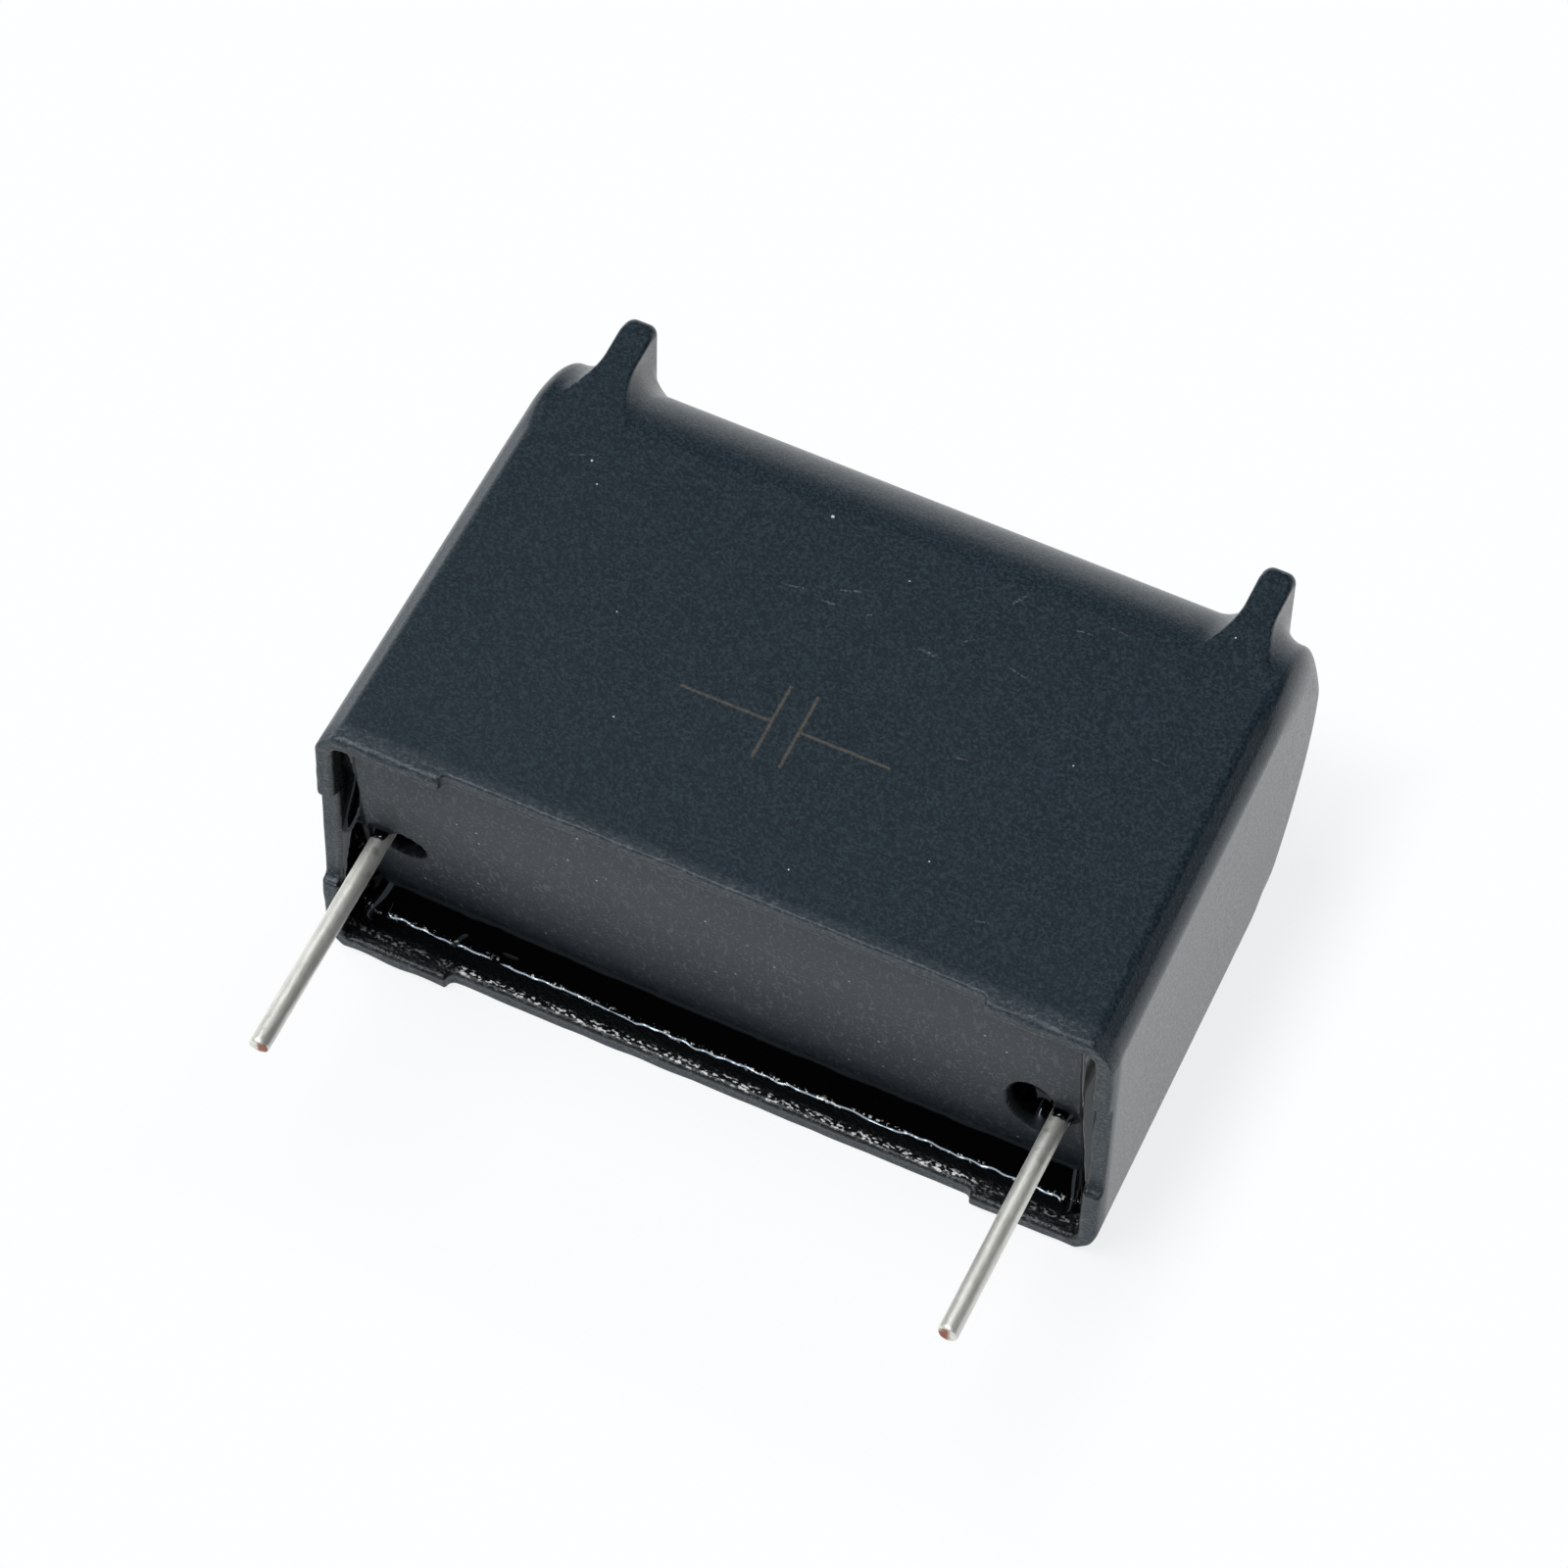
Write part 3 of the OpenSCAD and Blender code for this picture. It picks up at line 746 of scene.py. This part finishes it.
def plastic_material():
    n = Nodes("case_plastic_black")
    mm = n.millimetres()
    x, y, z = n.split(mm)
    grain = n.noise(mm, 8.5, 1.0, 0.65)
    cloud = n.noise(mm, 0.45, 1.0)
    chips = n.noise(n.scaled(mm, (0.5, 1.0, 1.0)), 9.0, 1.0, 0.65)
    inside = n.attribute("inside")
    rim = n.remap(y, RIM_FLECKS_Y, RIM_FLECKS_Y - 0.5)
    top = n.remap(z, CASE_W - 0.03, CASE_W - 0.01)
    base = n.mix(n.remap(cloud, 0.3, 0.7), PLASTIC_DARK, PLASTIC_LIGHT)
    base = n.mix(n.remap(grain, 0.38, 0.74), base, PLASTIC_GRAIN)
    # Painted shade: the inner walls take a darker colour
    base = n.mix(inside, base, PLASTIC_INSIDE_SHADE)
    scuff = n.times(scuff_mask(n, mm), n.remap(grain, 0.40, 0.58, 0.0, 2.0))
    base = n.mix(n.math("MULTIPLY", scuff, 0.8, clamp=True), base, PLASTIC_SCUFF)
    mark = n.times(symbol_mask(n, x, y), n.times(top, n.remap(grain, 0.3, 0.6, 0.45, 0.95)))
    base = n.mix(mark, base, MARK_COLOUR)
    base = n.mix(n.remap(dust_mask(n, mm), 0.35, 0.6, 0.0, 0.85), base, DUST_COLOUR)
    # Painted highlight: light flecks on the rough plastic near the open side
    fleck_highlight = n.times(n.remap(chips, 0.56, 0.66), rim)
    base = n.mix(n.times(fleck_highlight, 0.5), base, PLASTIC_FLECK_HIGHLIGHT)
    # Painted highlight: white glints on the rim's inner edge
    painted_glint = n.times(n.remap(chips, 0.54, 0.64), n.attribute("lip"))
    base = n.mix(painted_glint, base, PLASTIC_PAINTED_GLINT)
    rough = n.math("SUBTRACT", n.remap(grain, 0.3, 0.7, 0.34, 0.25), n.times(inside, 0.12))
    rough = n.math("MULTIPLY_ADD", rim, 0.2, rough)
    height = n.times(grain, n.math("MULTIPLY_ADD", inside, 7.0, 1.0))
    normal = n.bump(height, 0.14, 0.00006)
    return n.surface({"Base Color": base, "Roughness": rough, "Normal": normal, "IOR": 1.5,
                      "Specular Tint": PLASTIC_TINT})


# Epoxy's colours: menisci and hollows, the level's skin in painted shade at its lower edge and painted light
# at its upper edge, what lies in the skin, and the painted glint dots
EPOXY_BLACK = rgb(0.0006, 0.0006, 0.0007)
SKIN_PAINTED_SHADE = rgb(0.0006, 0.0026, 0.0055)
SKIN_HAZE_LIT = rgb(0.036, 0.040, 0.045)
SKIN_GRAIN = rgb(0.085, 0.099, 0.113)
SKIN_SWIRL = rgb(0.080, 0.090, 0.100)
SKIN_SPECK = rgb(0.55, 0.56, 0.57)
PAINTED_GLINT_DOT_COLOUR = rgb(0.80, 0.79, 0.75)
EPOXY_TINT = rgb(0.70, 0.85, 1.0)


def epoxy_material():
    n = Nodes("epoxy_black")
    mm = n.millimetres()
    cloud = n.noise(mm, 0.7, 2.0, 0.6)
    grain = n.noise(mm, 6.5, 1.0, 0.6)
    swirl = n.noise(n.scaled(mm, (1.0, 1.0, 0.35)), 4.0, 1.0, 0.6, 1.2)
    edge = n.math("ADD", n.attribute("skin"), n.remap(cloud, 0.3, 0.7, -0.03, 0.03))
    skin = n.remap(edge, -0.02, 0.06, smooth=True)
    dull = n.remap(edge, -0.20, -0.06, smooth=True)
    cells = n.add("ShaderNodeTexVoronoi", {"Vector": mm, "Scale": 0.9}, feature="F1")
    speck = n.remap(cells.outputs["Distance"], 0.055, 0.025)
    z = n.split(mm)[2]
    # Painted shade and light: the skin's haze runs from near black low down to grey high up, and its grain
    # and swirl fade towards the bottom
    share = n.remap(z, 3.0, 9.0, 0.3, 1.0)
    haze_with_painted_light = n.mix(n.remap(z, 5.0, 11.5, smooth=True), SKIN_PAINTED_SHADE, SKIN_HAZE_LIT)
    haze_with_painted_light = n.mix(n.times(n.remap(grain, 0.54, 0.74), share), haze_with_painted_light, SKIN_GRAIN)
    haze_with_painted_light = n.mix(n.times(n.remap(swirl, 0.60, 0.70, 0.0, 0.8), share), haze_with_painted_light, SKIN_SWIRL)
    haze_with_painted_light = n.mix(n.times(speck, 0.8), haze_with_painted_light, SKIN_SPECK)
    base = n.mix(skin, EPOXY_BLACK, haze_with_painted_light)
    # Painted highlight: light dots along the meniscus line
    painted_glint_dots = n.times(n.remap(grain, 0.60, 0.66), n.attribute("painted_glint_dots"))
    base = n.mix(painted_glint_dots, base, PAINTED_GLINT_DOT_COLOUR)
    rough = n.math("MULTIPLY_ADD", dull, n.remap(grain, 0.3, 0.7, 0.50, 0.60), 0.045)
    height = n.times(n.math("MULTIPLY_ADD", swirl, 0.4, grain), skin)
    normal = n.bump(height, 0.3, 0.00004)
    return n.surface({"Base Color": base, "Roughness": rough, "Normal": normal, "IOR": 1.4,
                      "Specular Tint": EPOXY_TINT})


# Wire's colours: tin in two shades, darker towards the resin, worn patches, copper at the cut
TIN_DARK = rgb(0.72, 0.725, 0.68)
TIN_LIGHT = rgb(0.87, 0.875, 0.835)
TIN_ROOT = rgb(0.42, 0.43, 0.39)
TIN_WORN = rgb(0.36, 0.36, 0.31)
COPPER = rgb(0.30, 0.115, 0.070)
CUT_Y = -LEAD_LEN - ORIGIN_Y


def tin_material():
    n = Nodes("tinned_copper_wire")
    mm = n.millimetres()
    x, y, z = n.split(mm)
    streak = n.noise(n.scaled(mm, (1, 0.12, 1)), 5.0, 1.0, 0.6)
    blot = n.noise(mm, 1.9, 2.0, 0.6)
    fine = n.noise(n.scaled(mm, (1, 0.5, 1)), 11.0, 1.0, 0.6)
    root = n.remap(y, -8.5, -6.0, 0.15, 1.0)
    base = n.mix(n.remap(streak, 0.3, 0.7), TIN_DARK, TIN_LIGHT)
    base = n.mix(n.remap(y, -10.0, -5.5, 0.0, 0.45), base, TIN_ROOT)
    worn = n.times(n.remap(blot, 0.54, 0.66), root)
    base = n.mix(n.times(worn, 0.75), base, TIN_WORN)
    inner = n.math("SUBTRACT", LEAD_X, n.math("ABSOLUTE", x))
    cut = n.times(n.remap(y, CUT_Y + 0.06, CUT_Y + 0.02), n.remap(z, MID_Z + 0.36, MID_Z + 0.26))
    copper = n.times(cut, n.remap(n.math("MULTIPLY_ADD", blot, 0.3, inner), 0.05, 0.20))
    base = n.mix(copper, base, COPPER)
    rough = n.math("ADD", n.remap(fine, 0.3, 0.7, 0.42, 0.52), n.times(worn, -0.12))
    height = n.math("MULTIPLY_ADD", blot, n.times(root, 1.4), n.times(fine, 0.35))
    normal = n.bump(height, 0.25, 0.00005)
    return n.surface({"Base Color": base, "Metallic": 0.75, "Roughness": rough, "Normal": normal})


def inner_material(name, dark, light, rough, metallic, scale, stretch):
    """Plain mottled metal for what the resin hides."""
    n = Nodes(name)
    mm = n.scaled(n.millimetres(), stretch)
    coarse, fine = n.noise(mm, scale, 3.0, 0.6), n.noise(mm, scale * 4, 2.0, 0.6)
    base = n.mix(n.remap(coarse, 0.3, 0.7), dark, light)
    normal = n.bump(n.math("ADD", coarse, n.times(fine, 0.4)), 0.4, 0.0001)
    rough = n.remap(fine, 0.3, 0.7, rough - 0.08, rough + 0.08)
    return n.surface({"Base Color": base, "Metallic": metallic, "Normal": normal, "Roughness": rough})


def film_material():
    return inner_material("wound_film", rgb(0.42, 0.44, 0.46), rgb(0.66, 0.68, 0.70), 0.32, 0.6, 1.2,
                          (0.2, 3.0, 3.0))


def zinc_material():
    return inner_material("sprayed_zinc", rgb(0.30, 0.30, 0.30), rgb(0.52, 0.52, 0.51), 0.7, 0.8, 4.0,
                          (1.0, 1.0, 1.0))


def weld_material():
    return inner_material("weld_metal", rgb(0.36, 0.35, 0.33), rgb(0.58, 0.57, 0.54), 0.45, 1.0, 2.5,
                          (1.0, 1.0, 1.0))


def dress_nodes(materials):
    """Give each CAD node a material; no mesh is changed."""
    for node, material in materials.items():
        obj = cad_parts[node]
        if not obj.material_slots:
            obj.data.materials.append(material)
        for slot in obj.material_slots:
            slot.material = material


# Floor, light and camera

# Floor, in metres: radii of its rings, points round it, and how far it lies below the part
FLOOR_RINGS = (0.02, 0.06, 0.15, 0.4, 1.0, 2.0, 4.0)
FLOOR_AROUND = 96
FLOOR_DROP = 0.00001
# Share of white that the floor shows beside the part, and the distance over which it becomes whole
FLOOR_WHITE = 0.84
FLOOR_FADE = (0.5, 5.0)
# Directions from the object: the middle of the white backdrop, the soft lamp and the front lamps
BACKDROP = (-0.397, 0.918, 0.0)
SOFT = (-0.42, -0.12, 0.90)
KEY = (-0.2165, -0.617, 0.757)
# Brightness of the room by the sine of the elevation: the walls, and the backdrop's sweep behind the object
WALL_STOPS = ((0.0, 1.0), (0.04, 1.0), (0.10, 0.02), (0.62, 0.02), (0.84, 0.06), (1.0, 0.14))
SWEEP_STOPS = ((0.0, 1.0), (0.14, 1.0), (0.36, 0.27), (0.62, 0.06), (0.84, 0.06), (1.0, 0.14))
BEHIND_STOPS = ((0.35, 0.0), (0.75, 1.0))
# Camera in the frame's coordinates: direction, point it looks at, distance and lens
CAMERA_AZ = math.radians(23.4247)
CAMERA_EL = math.radians(56.9877)
CAMERA_ROLL = math.radians(1.9381)
CAMERA_AIM = (-3.2156, 7.4261, 0.0)
CAMERA_DISTANCE = 283.0157
CAMERA_SENSOR = 36.0
CAMERA_LENS = 169.164


def floor_material():
    """White where it is seen or mirrored, with the part's shadow round it; pale paper for all other light."""
    n = Nodes("floor_white")
    path = n.add("ShaderNodeLightPath").outputs
    seen = n.largest([path["Is Camera Ray"], path["Is Glossy Ray"], path["Is Transmission Ray"]])
    x, y, _ = n.split(n.millimetres())
    away = n.largest([n.math("SUBTRACT", n.math("ABSOLUTE", place), HALF_L) for place in (x, y)])
    share = n.times(seen, n.remap(away, *FLOOR_FADE, FLOOR_WHITE, 1.0, smooth=True))
    paper = n.add("ShaderNodeBsdfDiffuse", {"Color": rgb(0.91, 0.915, 0.92)})
    glow = n.add("ShaderNodeEmission", {"Color": rgb(0.985, 0.993, 1.0), "Strength": 1.0})
    both = n.add("ShaderNodeMixShader", {0: share, 1: paper.outputs[0], 2: glow.outputs[0]})
    return n.finish(both.outputs[0])


def add_floor():
    points, faces = [(0, 0, 0)], []
    for i, r in enumerate(FLOOR_RINGS):
        first = len(points)
        for a in range(FLOOR_AROUND):
            angle = 2 * math.pi * a / FLOOR_AROUND
            points.append((r * math.cos(angle), r * math.sin(angle), 0))
        for a in range(FLOOR_AROUND):
            b = (a + 1) % FLOOR_AROUND
            if i == 0:
                faces.append((0, first + a, first + b))
            else:
                before = first - FLOOR_AROUND
                faces.append((before + a, first + a, first + b, before + b))
    mesh = bpy.data.meshes.new("floor")
    mesh.from_pydata(points, [], faces)
    mesh.update()
    obj = bpy.data.objects.new("floor", mesh)
    bpy.context.scene.collection.objects.link(obj)
    obj.location = (0, 0, -FLOOR_DROP)
    mesh.materials.append(floor_material())


def facing(towards, distance=0.0):
    """Place of a lamp that shines on the object from the direction given."""
    d = np.array(towards, float)
    d /= np.linalg.norm(d)
    side = np.cross((0, 1, 0), d) if abs(d[0]) > abs(d[1]) else np.cross((0, 0, 1), d)
    side /= np.linalg.norm(side)
    up = np.cross(d, side)
    return Matrix([(side[i], up[i], d[i], d[i] * distance) for i in range(3)] + [(0, 0, 0, 1)])


def add_sun(name, towards, energy, angle):
    """Soft light from the direction given, as a disc of that many degrees."""
    lamp = bpy.data.lights.new(name, "SUN")
    lamp.energy = energy
    lamp.angle = math.radians(angle)
    obj = bpy.data.objects.new(name, lamp)
    bpy.context.scene.collection.objects.link(obj)
    obj.matrix_world = facing(towards)


def add_strip(name, towards, distance, width, height, radiance):
    """Long soft box facing the object, from the direction given; lengths in metres."""
    lamp = bpy.data.lights.new(name, "AREA")
    lamp.shape = "RECTANGLE"
    lamp.size = width
    lamp.size_y = height
    lamp.energy = radiance * math.pi * width * height
    obj = bpy.data.objects.new(name, lamp)
    bpy.context.scene.collection.objects.link(obj)
    obj.matrix_world = facing(towards, distance)
    obj.visible_camera = False


def add_world():
    """Studio round the white table: pale horizon, dark walls, a sweep of backdrop behind the object."""
    world = bpy.data.worlds.new("studio")
    bpy.context.scene.world = world
    world.use_nodes = True
    tree = world.node_tree
    tree.nodes.clear()

    def add(kind, **inputs):
        node = tree.nodes.new(kind)
        for key, value in inputs.items():
            tree.links.new(value, node.inputs[key])
        return node

    def ramp(value, stops):
        node = add("ShaderNodeValToRGB", Fac=value)
        node.color_ramp.interpolation = "EASE"
        elements = node.color_ramp.elements
        while len(elements) < len(stops):
            elements.new(0.5)
        for element, (place, level) in zip(elements, stops):
            element.position = place
            element.color = (level, level, level, 1)
        return node.outputs[0]

    at = add("ShaderNodeTexCoord").outputs["Generated"]
    height = add("ShaderNodeSeparateXYZ", Vector=at).outputs[2]
    behind = add("ShaderNodeVectorMath", Vector=at)
    behind.operation = "DOT_PRODUCT"
    behind.inputs[1].default_value = BACKDROP
    share = ramp(behind.outputs["Value"], BEHIND_STOPS)
    both = tree.nodes.new("ShaderNodeMix")
    both.data_type = "RGBA"
    for socket, value in ((0, share), (6, ramp(height, WALL_STOPS)), (7, ramp(height, SWEEP_STOPS))):
        tree.links.new(value, both.inputs[socket])
    back = add("ShaderNodeBackground", Color=both.outputs[2])
    add("ShaderNodeOutputWorld", Surface=back.outputs[0])


def add_camera():
    flat = math.cos(CAMERA_EL)
    back = np.array((math.sin(CAMERA_AZ) * flat, -math.cos(CAMERA_AZ) * flat, math.sin(CAMERA_EL)))
    level = np.array((math.cos(CAMERA_AZ), math.sin(CAMERA_AZ), 0.0))
    upright = np.cross(back, level)
    right = math.cos(CAMERA_ROLL) * level + math.sin(CAMERA_ROLL) * upright
    up = -math.sin(CAMERA_ROLL) * level + math.cos(CAMERA_ROLL) * upright
    place = (np.array(CAMERA_AIM) + CAMERA_DISTANCE * back) * MM
    camera = bpy.data.cameras.new("camera")
    camera.sensor_width = CAMERA_SENSOR
    camera.lens = CAMERA_LENS
    camera.clip_start = 0.01
    camera.clip_end = 50.0
    obj = bpy.data.objects.new("camera", camera)
    bpy.context.scene.collection.objects.link(obj)
    obj.matrix_world = Matrix([(right[i], up[i], back[i], place[i]) for i in range(3)] + [(0, 0, 0, 1)])
    bpy.context.scene.camera = obj


# The scene

case = case_piece()
resin = resin_piece()
left_wire = lead_piece("lead_wire_left", "lead_left", -1, 21)
right_wire = lead_piece("lead_wire_right", "lead_right", 1, 22)

plastic = plastic_material()
epoxy = epoxy_material()
tin = tin_material()
film = film_material()
zinc = zinc_material()
weld = weld_material()
for piece, material in ((case, plastic), (resin, epoxy), (left_wire, tin), (right_wire, tin)):
    piece.data.materials.append(material)
dress_nodes({
    "case": plastic, "potting_resin": epoxy, "lead_left": tin, "lead_right": tin, "film_winding": film,
    "end_spray_left": zinc, "end_spray_right": zinc, "lead_weld_left": weld, "lead_weld_right": weld,
})

add_floor()
add_world()
add_sun("soft_left", SOFT, 2.7, 45)
add_sun("small_front", KEY, 0.05, 2.5)
add_strip("strip_front", KEY, 2.0, 1.3, 0.10, 17.0)
add_camera()
bpy.context.scene.view_settings.view_transform = "Standard"
